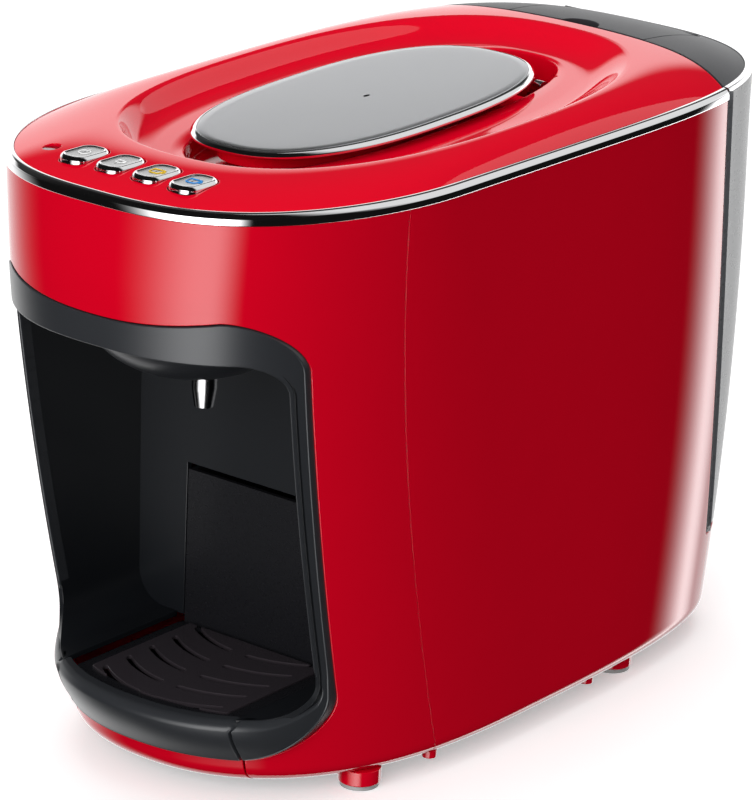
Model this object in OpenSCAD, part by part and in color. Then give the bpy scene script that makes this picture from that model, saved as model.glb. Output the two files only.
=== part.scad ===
// Pod coffee machine. Front is -Y, origin at the bottom centre on the standing surface.

/* [Body] */
// Width of the body at the chrome band
body_w = 180; // [176:1:184]
// Depth from the nose to the back of the water tank
body_d = 363; // [358:1:368]
// Height of the lower edge of the chrome band
band_z = 242; // [240:1:244]
// Height of the underside of the red shell
base_z = 8; // [7:0.5:9]
// How much each side draws in from the band to the base
side_taper = 5.5; // [4:0.5:7]
// How far the nose draws in at the base
undercut = 36; // [32:1:38]
// How far the tail draws in at the base
tail_undercut = 22; // [20:1:24]
// Wall of the red shells
wall = 2.4; // [2:0.1:2.8]

/* [Cup niche] */
// Half width of the niche frame, outside
frame_hw = 71; // [70.5:0.5:71.5]
// Half width of the niche opening
niche_hw = 66.5; // [66:0.5:67]
// Height of the top of the frame
frame_top = 204; // [203:0.5:205]
// Height of the niche ceiling
niche_top = 187.5; // [187:0.5:188.5]
// Height of the lip around the drip tray
lip_z = 38; // [37:0.5:39]
// Where the back wall of the niche stands
niche_back = -73; // [-75:0.5:-72]

/* [Drawer] */
// Half width of the drawer
drawer_hw = 43.5; // [43:0.1:43.8]

/* [Lever] */
// Length of the lever plate
lever_len = 177; // [172:1:178]
// Width of the lever plate
lever_w = 83.5; // [82:0.5:85]

/* [Buttons] */
// Distance between neighbouring buttons
button_pitch = 17.6; // [17:0.1:18]
// Width and length of a button cap
button_w = 13; // [12:0.1:13.6]
button_l = 19.4; // [18:0.1:20]

/* [Feet] */
// Diameter of a foot
foot_d = 17; // [15:0.5:18]

/* [Hidden] */

seg = 16;            // steps in each quarter of a plan outline
gap = 0.3;           // clearance between neighbouring pieces
band_h = 4.8;        // height of the chrome band
band_proud = 0.5;    // how far the band stands out from the shell
shoulder_z = 215;    // the nose is upright above this height
tail_z = 201.5;      // and the tail above this one
edge_r = 6;          // rounding of the lower edge of the shell
rear_r = 271;        // plan radius of the joint between body and tank
rear_y = 124;        // where that joint crosses the centre line at the band
rear_tilt = 5.2;     // the joint leans back going down
tank_foot_z = 46;    // height of the bottom of the tank
crown_front = 3.6;   // rise of the cover over the band, at the nose
crown_rear = 10.5;   // rise of the cover over the band, at the back
dish_y = -9.5;        // centre of the dish in the cover
dish_l = 124.5;      // half length of the dish
dish_w = 69.5;       // half width of the dish
dish_e = 2.5;        // squareness of the dish and the lever
well_y = -11.5;      // centre of the well under the lever
well_l = 103.5;
well_w = 36;
well_z = 236;        // floor of the well
cover_t = 2.4;       // wall of the cover
head_y = -121;       // axis of the bowl of the brew head
bowl_d = 23;         // depth of that bowl
spout_y = -113;      // axis of the spout
frame_d = 6;         // depth of the niche frame, front to back
hinge_y = 64;        // lever hinge line
hinge_z = 243.5;
lever_y = -18.5;     // centre of the lever plate
lever_z = 248.2;     // underside of the lever plate at its centre
lever_tilt = 1.7;    // the plate rises towards the back
button_y = -155;
button_top = 251.2;
button_x = [for (i = [-1.5:1:1.5]) i * button_pitch];
slot_y = -52;        // centre of the capsule slot
capsule_r = 20;      // half width of the capsule passage
capsule_h = 32;      // length of the capsule passage
bin_back = 8;        // back wall of the capsule bin
bin_hw = drawer_hw - 3.6;
tray_z = 12;         // underside of the drawer
bore_z = 213;        // axis of the brewing piston
flap_y = 163;        // hinge line of the tank flap
flap_z = 249;
flap_hw = 34;        // half width of the flap

function mix(a, b, t) = a + (b - a) * t;
function down(z) = (band_z - z) / (band_z - base_z);
function half_w(z) = body_w / 2 - side_taper * down(z);
function drawn_in(z) =
    z >= shoulder_z ? 0 : undercut * pow((shoulder_z - z) / (shoulder_z - base_z), 1.6);
function nose_y(z) = -body_d / 2 + drawn_in(z);
function tail_y(z) =
    body_d / 2 - (z >= tail_z ? 0 : tail_undercut * pow((tail_z - z) / (tail_z - base_z), 1.8));
function front_y(z) = mix(-75, 5, down(z));
// The back turns from an oval at the band into a squarer plan at the base
function squarer(z) = pow(max(0, down(z)), 1.48);
function back_y(z) = mix(-18, 8, squarer(z));
function seam_y(z) = -103 + 43 * pow(max(0, down(z)), 1.7);

// Quarter arcs of the plan outline at height z: a squarish front and a squarer back
function front_pt(z, t, i) = [
    (half_w(z) - i) * pow(sin(t), 2 / mix(2.78, 2.2, down(z))),
    front_y(z) - (front_y(z) - nose_y(z) - i) * pow(cos(t), 2 / mix(1.95, 2.8, down(z)))
];
function back_pt(z, t, i) = [
    (half_w(z) - i) * pow(sin(t), 2 / mix(2.67, 6, squarer(z))),
    back_y(z) + (tail_y(z) - i - back_y(z)) * pow(cos(t), 2 / mix(4.5, 3, squarer(z)))
];
function flip(p) = [-p.x, p.y];
function outline(z, inset) = concat(
    [for (k = [0:seg - 1]) front_pt(z, 90 * k / seg, inset)],
    [for (k = [0:seg - 1]) back_pt(z, 90 - 90 * k / seg, inset)],
    [for (k = [0:seg - 1]) flip(back_pt(z, 90 * k / seg, inset))],
    [for (k = [0:seg - 1]) flip(front_pt(z, 90 - 90 * k / seg, inset))]
);
function raised(points, z) = [for (p = points) [p.x, p.y, z]];

// Rails are closed rings of points that run the same way; the skin joins them in order
module skin(rails) {
    n = len(rails[0]);
    last = len(rails) - 1;
    sides = [
        for (k = [0:last - 1], i = [0:n - 1])
            let (j = (i + 1) % n, a = k * n, b = a + n)
                each [[a + i, b + i, b + j], [a + i, b + j, a + j]]
    ];
    polyhedron(
        points = [for (r = rails) each r],
        faces = concat(sides, [[for (i = [0:n - 1]) i], [for (i = [n - 1:-1:0]) last * n + i]])
    );
}

// A closed volume with the body's plan outline: heights and the inset at each
module loft(heights, insets) {
    skin([for (k = [0:len(heights) - 1]) raised(outline(heights[k], insets[k]), heights[k])]);
}

// Keeps a shell cut from skins as a single mesh
module one_mesh() {
    resize([0, 0, 0]) children();
}

function edge_in(z) = let (u = edge_r - (z - base_z)) u <= 0 ? 0 : edge_r - sqrt(edge_r * edge_r - u * u);
shell_zs = [base_z, base_z + 1.5, base_z + edge_r, 30, 60, 90, 120, 150, 180, 215, band_z];
module body_volume(inset) {
    loft(shell_zs, [for (z = shell_zs) inset + edge_in(z)]);
}

// Region in front of a cutting line given as [y, z], across the whole width
module side_region(points) {
    rotate([90, 0, 90]) linear_extrude(2 * body_w, center = true) polygon(points);
}
module before_seam(offset_y) {
    side_region(concat(
        [[-body_d, 400], [-body_d, -10]],
        [for (z = [-10:12:band_z + 26]) [seam_y(z) + offset_y, z]],
        [[-103 + offset_y, 400]]
    ));
}
// Everything in front of the joint between body and tank
module before_joint(offset_y) {
    translate([0, rear_y - rear_r + offset_y, band_z]) rotate([rear_tilt, 0, 0])
        cylinder(r = rear_r, h = 700, center = true, $fn = 240);
}

// An upright rounded outline in the XZ plane; it narrows by lean to its foot, and its top dips in the middle
module upright(hw, lean, low, high, r_low, r_high, dip) {
    foot = hw - lean;
    right = concat(
        [for (a = [-90:15:0]) [foot - r_low + r_low * cos(a), low + r_low + r_low * sin(a)]],
        [for (a = [0:15:90]) [hw - r_high + r_high * cos(a), high - r_high + r_high * sin(a)]],
        [for (t = [0.75:-0.25:0]) [t * (hw - r_high), high - dip * (1 - t * t)]]
    );
    polygon(concat(right, [for (k = [len(right) - 2:-1:0]) [-right[k].x, right[k].y]]));
}
module along_y(y0, y1) {
    translate([0, y1, 0]) rotate([90, 0, 0]) linear_extrude(y1 - y0) children();
}
module frame_outside(grow) {
    upright(frame_hw + grow, 3, 19 - grow, frame_top + grow, 28, 20, 4.5);
}
module frame_inside() {
    upright(niche_hw, 2.2, lip_z, niche_top, 14, 12, 0);
}

// The frame's front surface swells into a lip round the drip tray
frame_zs = [12, 18, 23, 28, 33, 38, 43, 50, 60, 90, 120, 150, 180, 208];
function lip_swell(z) = let (u = (z - 34) / (z > 34 ? 26 : 20)) abs(u) >= 1 ? 0 : 5 * pow(1 - u * u, 2);
function lip_fade(x) = max(0, 1 - pow(abs(x) / frame_hw, 4));
function frame_ring(z) = [
    for (p = outline(z, 0.1)) let (s = lip_swell(z) * lip_fade(p.x))
        p.y > 0 ? [p.x, p.y, z] : [p.x + s * 0.7 * p.x / frame_hw, p.y - s, z]
];
module frame_volume() {
    skin([for (z = frame_zs) frame_ring(z)]);
}

// Drawer face: narrows a little towards the base; grow widens it for the opening it slides in
function drawer_half(z) = drawer_hw - 1.2 * (lip_z - z) / 34;
module drawer_face(grow) {
    low = base_z - 4;
    high = lip_z + (grow > 0 ? 4 : 0);
    polygon([
        [-drawer_half(low) - grow, low], [drawer_half(low) + grow, low],
        [drawer_half(high) + grow, high], [-drawer_half(high) - grow, high]
    ]);
}

// ---- Shells ----
module shell_skin() {
    difference() {
        body_volume(band_proud);
        loft(
            concat([base_z - 1], shell_zs, [band_z + 1]),
            concat([edge_r], [for (z = shell_zs) edge_in(z)], [0]) + [for (k = [0:12]) band_proud + wall]
        );
    }
}
module front_shell() {
    color("firebrick") one_mesh() difference() {
        shell_skin();
        difference() {
            translate([-body_w, -body_d, -10]) cube([2 * body_w, 2 * body_d, 400]);
            before_seam(-0.15);
        }
        along_y(-200, -40) frame_outside(gap);
        along_y(-200, -40) drawer_face(gap);
    }
}
module rear_shell() {
    color("firebrick") one_mesh() {
        difference() {
            shell_skin();
            before_seam(0.15);
            difference() {
                translate([-body_w, 60, tank_foot_z - 0.6]) cube([2 * body_w, body_d, 300]);
                before_joint(0);
            }
            translate([gland_x, 130, gland_z]) rotate([-90, 0, 0]) cylinder(r = 6.4, h = 60, $fn = 40);
        }
        // Rear wall that the tank stands against
        intersection() {
            loft(
                [tank_foot_z - 3, 60, 90, 120, 150, 180, 215, band_z],
                [for (k = [0:7]) band_proud + wall - 0.4]
            );
            difference() {
                before_joint(0);
                before_joint(-wall);
            }
        }
        // Shelf under the tank
        difference() {
            loft([tank_foot_z - 3, tank_foot_z - 0.6], [band_proud + 0.6, band_proud + 0.6]);
            before_joint(-wall);
            translate([0, valve_y, 0]) cylinder(r = 5.7, h = 100, $fn = 40);
        }
    }
}
module base_plate() {
    color([0.12, 0.12, 0.13]) difference() {
        union() {
            translate([0, 0, base_z]) linear_extrude(2.4)
                polygon(outline(base_z, edge_r + wall + band_proud + gap));
            for (y = [28.5, 62.5]) translate([pump_x - 10, y - 3, base_z + 2.4]) cube([20, 6, 2.8]);
            for (s = [-1, 1]) translate([s * 56 - 2, -110, base_z + 2.4]) cube([4, 120, 8]);
        }
        for (p = screw_places) translate([p.x, p.y, 0]) cylinder(r = 1.7, h = 20, $fn = 32);
        for (i = [-3:3]) translate([i * 9 - 2, 100, 0]) cube([4, 24, 20]);
    }
}
screw_places = [[-62, -40], [62, -40], [-64, 40], [64, 40], [-40, 118], [48, 118]];
module housing_screws() {
    color("silver") for (p = screw_places) translate([p.x, p.y, 0]) {
        translate([0, 0, base_z - 1.6]) cylinder(r = 3.2, h = 1.6, $fn = 32);
        translate([0, 0, base_z]) cylinder(r = 1.6, h = 9, $fn = 32);
    }
}
foot_places = [[-63.5, -88], [63.5, -88], [-68, 77], [68, 77]];
module base_feet() {
    color("firebrick") {
        for (p = foot_places) translate([p.x, p.y, 1.8]) cylinder(d = foot_d, h = base_z - 1.8, $fn = 64);
        // Small nubs where the shells clip to the base
        for (p = nub_places) translate([p.x, p.y, base_z - 3.4]) cylinder(r = 3, h = 3.4, $fn = 32);
    }
}
nub_places = [[-74, -57], [74, -57], [-76, 47], [76, 47]];
module foot_pads() {
    color("gray") for (p = foot_places) translate([p.x, p.y, 0]) cylinder(d = foot_d - 1.6, h = 1.8, $fn = 64);
}

// ---- Top ----
function crown(y) = mix(crown_front, crown_rear, (y + body_d / 2) / body_d);
function rim_z(y) = band_z + 4.6 + crown(y);
function dish_floor_z(y) = 243.2 + 0.0275 * (y + 104);
function oval_pt(hw, hl, yc, t, sx, sy) = [
    sx * hw * pow(sin(t), 2 / dish_e), yc + sy * hl * pow(cos(t), 2 / dish_e)
];
function oval(hw, hl, yc) = concat(
    [for (k = [0:seg - 1]) oval_pt(hw, hl, yc, 90 * k / seg, 1, -1)],
    [for (k = [0:seg - 1]) oval_pt(hw, hl, yc, 90 - 90 * k / seg, 1, 1)],
    [for (k = [0:seg - 1]) oval_pt(hw, hl, yc, 90 * k / seg, -1, 1)],
    [for (k = [0:seg - 1]) oval_pt(hw, hl, yc, 90 - 90 * k / seg, -1, -1)]
);
// Rails of the domed top between the band and the rim of the dish
dome_steps = [0, 0.12, 0.35, 0.65, 1];
function dome_rails() =
    let (edge = outline(band_z, 3.4 + gap), rim = oval(dish_w, dish_l, dish_y))
        [for (u = dome_steps) [
            for (i = [0:4 * seg - 1])
                let (p = mix(edge[i], rim[i], u))
                    [p.x, p.y, band_z + 4.6 + crown(p.y) * (1 - pow(1 - u, 2.2))]
        ]];
// Rails of the dish: how far in from the rim, and how far down towards the floor
dish_steps = [[2.5, 0.16], [7, 0.72], [12, 0.97]];
function dish_rails() = [
    for (s = dish_steps) [
        for (p = oval(dish_w - s[0], dish_l - s[0], dish_y - 0.6 * s[0]))
            [p.x, p.y, mix(rim_z(p.y), dish_floor_z(p.y), s[1])]
    ]
];
function well_rails() = [
    [for (p = oval(well_w, well_l, well_y)) [p.x, p.y, dish_floor_z(p.y)]],
    raised(oval(well_w - 1.5, well_l - 1.5, well_y), well_z)
];
function lowered(rail, t) = [for (p = rail) [p.x, p.y, p.z - t]];
module plate_from(rails, t) {
    n = len(rails);
    skin(concat([for (k = [n - 1:-1:0]) lowered(rails[k], t)], rails));
}
module top_cover() {
    color("firebrick") one_mesh() difference() {
        plate_from(concat(dome_rails(), dish_rails(), well_rails()), cover_t);
        difference() {
            translate([-body_w, 60, 200]) cube([2 * body_w, body_d, 100]);
            before_joint(-0.2);
        }
        for (x = button_x) translate([x, button_y, 230]) linear_extrude(40)
            rounded(button_w + 0.8, button_l + 0.8, 5.4);
        translate([light_x, light_y, 230]) cylinder(r = 3.6, h = 40, $fn = 40);
        translate([-capsule_r, slot_y - capsule_h / 2, 220]) cube([2 * capsule_r, capsule_h, 30]);
        for (s = [-1, 1]) translate([s * 24.6 - 2.5, 56, 220]) cube([5, 17, 30]);
    }
}
light_x = -2.5 * button_pitch;
light_y = button_y + 1.5;
module rounded(w, l, r) {
    polygon([
        for (c = [[1, 1, 0], [-1, 1, 90], [-1, -1, 180], [1, -1, 270]], a = [0:15:90])
            [c.x * (w / 2 - r) + r * cos(c.z + a), c.y * (l / 2 - r) + r * sin(c.z + a)]
    ]);
}
module band_ring() {
    difference() {
        loft([band_z, band_z + 3.2, band_z + band_h], [0, 0, 1.9]);
        loft([band_z - 1, band_z + band_h + 1], [3.4, 3.4]);
    }
}
module chrome_band() {
    color("gainsboro") one_mesh() intersection() {
        band_ring();
        before_joint(0);
    }
}
module status_light() {
    color("darkred") translate([light_x, light_y, 243.5]) cylinder(r = 3.4, h = 4.6, $fn = 48);
}

// ---- Niche ----
module niche_frame() {
    color([0.2, 0.21, 0.22]) one_mesh() difference() {
        intersection() {
            frame_volume();
            along_y(-200, -60) difference() {
                frame_outside(0);
                frame_inside();
            }
        }
        translate([0, frame_d, 0]) frame_volume();
        along_y(-200, -60) drawer_face(gap);
    }
}
module niche_liner() {
    color([0.07, 0.07, 0.08]) one_mesh() difference() {
        union() {
            intersection() {
                translate([0, frame_d + gap, 0]) frame_volume();
                along_y(-200, niche_back + 2.4) difference() {
                    upright(niche_hw + 2.2, 2.2, lip_z - 2.2, niche_top + 2.2, 16, 14, 0);
                    frame_inside();
                }
            }
            along_y(niche_back, niche_back + 2.4) difference() {
                frame_inside();
                translate([-bin_hw - 0.8, 0]) square([2 * bin_hw + 1.6, bin_top + 3]);
            }
        }
        along_y(-200, -60) translate([-drawer_hw - 0.5, 0]) square([2 * drawer_hw + 1, lip_z + 3]);
        translate([0, spout_y, 150]) cylinder(r = 5.4, h = 60, $fn = 40);
    }
}
bin_top = 100;
module brew_head() {
    // Shallow bowl under the niche's ceiling, with the spout's hole behind its middle
    color([0.2, 0.21, 0.22]) difference() {
        translate([0, head_y, niche_top - gap]) rotate_extrude($fn = 96) polygon(concat(
            [for (a = [0:10:90]) [6 * sign(90 - a) + 35 * cos(a), -bowl_d * sin(a)]],
            [for (a = [90:-10:0]) [6 * sign(90 - a) + 33 * cos(a), (2 - bowl_d) * sin(a)]]
        ));
        translate([0, spout_y, 150]) cylinder(r = 5.4, h = 60, $fn = 40);
    }
}
module coffee_spout() {
    color("silver") translate([0, spout_y, 0]) rotate_extrude($fn = 64)
        polygon([[2.4, 146.5], [3.8, 146.5], [5, 154], [5, 204], [2.4, 204]]);
}
module brew_chamber() {
    color([0.3, 0.3, 0.32]) difference() {
        translate([-27, -76, 194]) cube([54, 72, 38.5]);
        translate([-capsule_r, slot_y - capsule_h / 2, 190]) cube([2 * capsule_r, capsule_h, 50]);
        translate([0, -3, bore_z]) rotate([90, 0, 0]) cylinder(r = 17.1, h = 40, $fn = 96);
        translate([0, -60, bore_z]) rotate([90, 0, 0]) cylinder(r = 2.2, h = 20, $fn = 32);
    }
}
module capsule_chute() {
    color([0.15, 0.15, 0.16]) difference() {
        translate([-22.5, -70, 106]) cube([45, 36.5, 87.8]);
        translate([-20.5, -68, 100]) cube([41, 32.5, 100]);
    }
}
module brew_piston() {
    // Turned profile along -Y, with a groove for the seal and a rod behind
    color("silver") translate([0, 0, bore_z]) rotate([90, 0, 0]) rotate_extrude($fn = 96)
        polygon([
            [0, -12], [6, -12], [6, 6], [17, 6], [17, 28], [15, 28], [15, 31], [17, 31], [17, 35.5], [0, 35.5]
        ]);
}
module piston_seal() {
    color([0.1, 0.1, 0.1]) translate([0, 0, bore_z]) rotate([90, 0, 0]) rotate_extrude($fn = 96)
        polygon([[15.05, 28.2], [17.05, 28.2], [17.05, 30.8], [15.05, 30.8]]);
}

// ---- Inside ----
pump_x = -38;
pump_z = 36;
module pump() {
    color([0.35, 0.36, 0.4]) translate([pump_x, 0, pump_z]) rotate([-90, 0, 0]) rotate_extrude($fn = 72)
        polygon([[0, 18], [4, 18], [4, 22], [18.8, 22], [18.8, 70], [11, 70], [11, 88], [4, 88], [4, 94], [0, 94]]);
}
module pump_mounts() {
    color([0.08, 0.08, 0.08]) for (y = [28.5, 62.5]) translate([pump_x, y - 2.5, pump_z]) rotate([-90, 0, 0])
        rotate_extrude($fn = 64) polygon([[18.9, 0], [22.7, 0], [22.7, 5], [18.9, 5]]);
}
module flow_meter() {
    color("white") translate([-36, 112, 0]) {
        translate([0, 0, 62]) cylinder(r = 12, h = 14, $fn = 64);
        translate([0, 0, 54]) cylinder(r = 3.5, h = 8, $fn = 32);
        translate([0, 0, 76]) cylinder(r = 3.5, h = 8, $fn = 32);
    }
}
module heater() {
    color("lightgray") difference() {
        union() {
            translate([20, 20, 44]) cube([42, 66, 46]);
            for (k = [0:6]) translate([18, 26 + 9 * k, 41]) cube([46, 2, 52]);
        }
        for (z = [55, 79]) translate([41, 10, z]) rotate([-90, 0, 0]) cylinder(r = 3, h = 90, $fn = 32);
    }
}
module tube(a, b, r) {
    d = b - a;
    l = norm(d);
    translate(a) rotate([0, acos(d.z / l), atan2(d.y, d.x)]) cylinder(r = r, h = l, $fn = 48);
}
module pipe(points, r) {
    for (k = [0:len(points) - 2]) tube(points[k], points[k + 1], r);
    for (k = [1:len(points) - 2]) translate(points[k]) cylinder(r = 1.3 * r, h = 2.6 * r, center = true, $fn = 48);
}
module water_hoses() {
    color([0.8, 0.8, 0.78]) {
        pipe([[0, valve_y, 27.8], [0, valve_y, 22], [-18, 128, 22], [-36, 112, 30], [-36, 112, 53.8]], 3);
        pipe([[-36, 112, 84.2], [-36, 112, 92], [-60, 96, 92], [-60, 102, 36], [pump_x, 102, 36], [pump_x, 94.2, 36]], 3);
        pipe([[pump_x, 17.8, 36], [pump_x, 14.3, 36], [-10, 14.3, 60], [41, 14.3, 55], [41, 19.8, 55]], 2.6);
        pipe([[41, 86.2, 79], [41, 92, 79], [41, 92, 170], [35, 30, 213], [0, 30, 213]], 2.6);
        pipe([[0, -76.2, bore_z], [0, spout_y, bore_z], [0, spout_y, 204.2]], 2.6);
    }
}
module control_board() {
    color("darkgreen") {
        translate([-75, -28, 112]) cube([1.6, 84, 78]);
        translate([-73.4, -16, 124]) cube([16, 22, 26]);
        translate([-73.4, 20, 150]) cube([12, 26, 18]);
        translate([-73.4, 18, 120]) cube([9, 14, 14]);
    }
}
module button_board() {
    color("darkgreen") {
        translate([-51, button_y - 6, 229.4]) cube([87, 18, 1.6]);
        for (x = button_x) translate([x - 3, button_y - 3, 231]) cube([6, 6, 3.4]);
        translate([light_x - 2, light_y - 2, 231]) cube([4, 4, 3]);
    }
}
module power_inlet() {
    // Cable gland in the back of the base
    color([0.08, 0.08, 0.08]) translate([gland_x, 0, gland_z]) rotate([-90, 0, 0]) rotate_extrude($fn = 64)
        polygon([[3.4, 150], [9, 150], [9, 156.4], [6, 156.4], [6, 163.2], [3.4, 163.2]]);
}
gland_x = -30;
gland_z = 22;

// ---- Lever ----
module lever_frame() {
    translate([0, lever_y, lever_z]) rotate([lever_tilt, 0, 0]) children();
}
module lever_outline(inset) {
    polygon(oval(lever_w / 2 - inset, lever_len / 2 - inset, 0));
}
module lever_trim() {
    color("gainsboro") lever_frame() one_mesh() difference() {
        skin([
            for (s = [[0, 1.8], [1.0, 0.2], [1.8, 0], [3.4, 1.9]])
                raised(oval(lever_w / 2 - s[1], lever_len / 2 - s[1], 0), s[0])
        ]);
        translate([0, 0, 2.5]) linear_extrude(2) lever_outline(2.5);
    }
}
module lever_plate() {
    color("silver") lever_frame() translate([0, 0, 2.5]) linear_extrude(1) lever_outline(2.6);
}
module ear_slots() {
    for (s = [-1, 1]) translate([s * 24.6 - 2.6, 50, 225]) cube([5.2, 40, 21]);
}
module lever_base() {
    color("firebrick") difference() {
        union() {
            lever_frame() translate([0, 0, -6]) linear_extrude(5.9) polygon(oval(29, 80, 0));
            translate([-21.8, hinge_y, hinge_z]) rotate([0, 90, 0]) cylinder(r = 4.4, h = 43.6, $fn = 64);
        }
        ear_slots();
        translate([-40, hinge_y, hinge_z]) rotate([0, 90, 0]) cylinder(r = 2.06, h = 80, $fn = 64);
    }
}
module lever_bracket() {
    color("gray") difference() {
        union() {
            translate([-30, 55, 226]) cube([60, 18, 3]);
            for (s = [-1, 1]) translate([s * 24.6 - 2, 58, 229]) cube([4, 12, 14.5]);
            for (s = [-1, 1]) translate([s * 24.6 - 2, hinge_y, hinge_z]) rotate([0, 90, 0])
                cylinder(r = 3.8, h = 4, $fn = 48);
        }
        translate([-40, hinge_y, hinge_z]) rotate([0, 90, 0]) cylinder(r = 2, h = 80, $fn = 64);
    }
}
module lever_pin() {
    color("silver") translate([-26.6, hinge_y, hinge_z]) rotate([0, 90, 0]) cylinder(r = 2, h = 53.2, $fn = 64);
}

// ---- Buttons ----
module button(k) {
    color("gainsboro") translate([button_x[k], button_y, 0]) {
        translate([0, 0, 243.8]) linear_extrude(1.2) rounded(button_w + 2, button_l + 2, 5.8);
        translate([0, 0, 245]) linear_extrude(button_top - 245.8) rounded(button_w, button_l, 5);
        translate([0, 0, button_top - 0.8]) linear_extrude(0.8) rounded(button_w - 1.2, button_l - 1.2, 4.4);
        translate([0, 0, 236]) cylinder(r = 2.2, h = 8, $fn = 32);
    }
}
module power_button() { button(0); }
module small_cup_button() { button(1); }
module large_cup_button() { button(2); }
module hot_water_button() { button(3); }
// A wire coil standing on z = 0: rings of points along a helix
module coil(r, wire, h, turns) {
    steps = turns * 10;
    skin([
        for (k = [0:steps]) let (a = 360 * turns * k / steps, z = wire / 2 + (h - wire) * k / steps) [
            for (j = [0:4]) let (b = 72 * j)
                [(r + wire / 2 * cos(b)) * cos(a), (r + wire / 2 * cos(b)) * sin(a), z + wire / 2 * sin(b)]
        ]
    ]);
}
module button_springs() {
    color("silver") for (x = button_x) translate([x, button_y, 231.2]) coil(4.8, 0.6, 11.3, 3);
}

// ---- Drawer ----
module drawer_front() {
    color([0.2, 0.21, 0.22]) one_mesh() intersection() {
        difference() {
            frame_volume();
            translate([0, 14, 0]) frame_volume();
        }
        along_y(-200, -60) intersection() {
            frame_outside(0);
            drawer_face(0);
        }
    }
}
module drawer_trim() {
    color("firebrick") one_mesh() intersection() {
        difference() {
            body_volume(band_proud);
            translate([0, wall, 0]) body_volume(band_proud);
        }
        along_y(-200, -60) difference() {
            drawer_face(0);
            frame_outside(0.1);
        }
    }
}
// Plan of the drawer's inside, behind its front
module tray_plan(back, hw, set_back) {
    intersection() {
        translate([0, 14 + set_back]) polygon(outline(16, 0));
        translate([-hw, -body_d / 2]) square([2 * hw, body_d / 2 + back]);
    }
}
module drip_tray() {
    color([0.1, 0.1, 0.11]) difference() {
        translate([0, 0, tray_z]) linear_extrude(21) tray_plan(bin_back + 2.6, drawer_hw - 1, 0.3);
        translate([0, 0, tray_z + 2]) linear_extrude(30) tray_plan(bin_back + 1, drawer_hw - 3, 2.3);
    }
}
module arc_slot(r, a0, a1, w) {
    polygon(concat(
        [for (k = [0:10]) let (a = mix(a0, a1, k / 10)) [(r + w) * sin(a), -(r + w) * cos(a)]],
        [for (k = [10:-1:0]) let (a = mix(a0, a1, k / 10)) [r * sin(a), -r * cos(a)]]
    ));
}
grate_y = -70;
module drip_grate() {
    color("dimgray") translate([0, 0, tray_z + 21.3]) linear_extrude(1.6) difference() {
        tray_plan(niche_back - 2, drawer_hw - 3.4, 1.5);
        translate([0, grate_y]) for (r = [14:9:50], s = [-1, 1])
            arc_slot(r, s > 0 ? 5 + 60 / r : -min(48, 2000 / r), s > 0 ? min(48, 2000 / r) : -5 - 60 / r, 2.6);
    }
}
module capsule_bin() {
    color([0.13, 0.13, 0.14]) difference() {
        translate([-bin_hw, niche_back + 0.2, tray_z + 2.3]) cube([2 * bin_hw, bin_back - niche_back, bin_top - tray_z - 2.3]);
        translate([2 - bin_hw, niche_back + 2.2, tray_z + 4.3]) cube([2 * bin_hw - 4, bin_back - niche_back - 4, 100]);
    }
}

// ---- Water tank ----
valve_y = 153.4;
tank_zs = [tank_foot_z, tank_foot_z + 2, 60, 90, 120, 150, 180, 215, band_z + 2.8];
module water_tank() {
    color([0.5, 0.52, 0.55, 0.6]) one_mesh() {
        difference() {
            loft(tank_zs, [for (z = tank_zs) band_proud + (z == tank_foot_z ? 1.5 : 0)]);
            before_joint(0.9);
            difference() {
                loft([for (z = tank_zs) z + 2.4], [for (z = tank_zs) band_proud + 2.4]);
                before_joint(3.3);
            }
            translate([0, valve_y, 30]) cylinder(r = 2.8, h = 30, $fn = 40);
        }
        difference() {
            translate([0, valve_y, tank_foot_z - 5]) cylinder(r = 4, h = 5.5, $fn = 40);
            translate([0, valve_y, 30]) cylinder(r = 2.8, h = 30, $fn = 40);
        }
    }
}
module tank_seat() {
    color([0.15, 0.15, 0.16]) translate([0, valve_y, 0]) rotate_extrude($fn = 64)
        polygon([[1, 28], [5.4, 28], [5.4, 45], [4.3, 45], [4.3, 38], [1, 38]]);
}
module tank_rim() {
    // Thin ring between the tank and its lid
    color("gainsboro") one_mesh() difference() {
        loft([band_z + 3, band_z + band_h - 0.6, band_z + band_h], [0.4, 0.4, 1.4]);
        loft([band_z, band_z + band_h + 1], [3.4, 3.4]);
        before_joint(0.9);
    }
}
module lid_volume(t) {
    plate_from(concat(dome_rails(), [raised(oval(1, 1, dish_y), rim_z(20))]), t);
}
module flap_box(side, back) {
    translate([-flap_hw - side, 100, 230]) cube([2 * (flap_hw + side), back - 100, 40]);
}
// A knuckle of the flap's hinge between two places across the lid
module knuckle(x0, x1, r) {
    translate([x0, flap_y, flap_z]) rotate([0, 90, 0]) cylinder(r = r, h = x1 - x0, $fn = 40);
}
module tank_lid() {
    color([0.22, 0.22, 0.24]) one_mesh() {
        difference() {
            lid_volume(2.4);
            before_joint(0.9);
            flap_box(0.4, flap_y + 3.75);
        }
        for (s = [-1, 1]) difference() {
            knuckle(s * (flap_hw + 1.8) - 1.4, s * (flap_hw + 1.8) + 1.4, 1.5);
            knuckle(-40, 40, 0.8);
        }
        // Skirt that sits inside the tank's mouth
        difference() {
            loft([band_z - 4, band_z + 4], [3.8, 3.8]);
            before_joint(4.2);
            difference() {
                loft([band_z - 5, band_z + 5], [5.6, 5.6]);
                before_joint(6);
            }
        }
    }
}
module tank_flap() {
    color([0.24, 0.24, 0.26]) one_mesh() difference() {
        union() {
            intersection() {
                difference() {
                    lid_volume(2.4);
                    before_joint(1.2);
                    translate([0, rear_y, 252]) cylinder(r = 9, h = 20, $fn = 40);
                }
                flap_box(0, flap_y + 2.4);
            }
            knuckle(-flap_hw, flap_hw, 1.5);
        }
        knuckle(-40, 40, 0.86);
    }
}
module flap_pin() {
    color("silver") knuckle(-flap_hw - 3, flap_hw + 3, 0.8);
}
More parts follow.
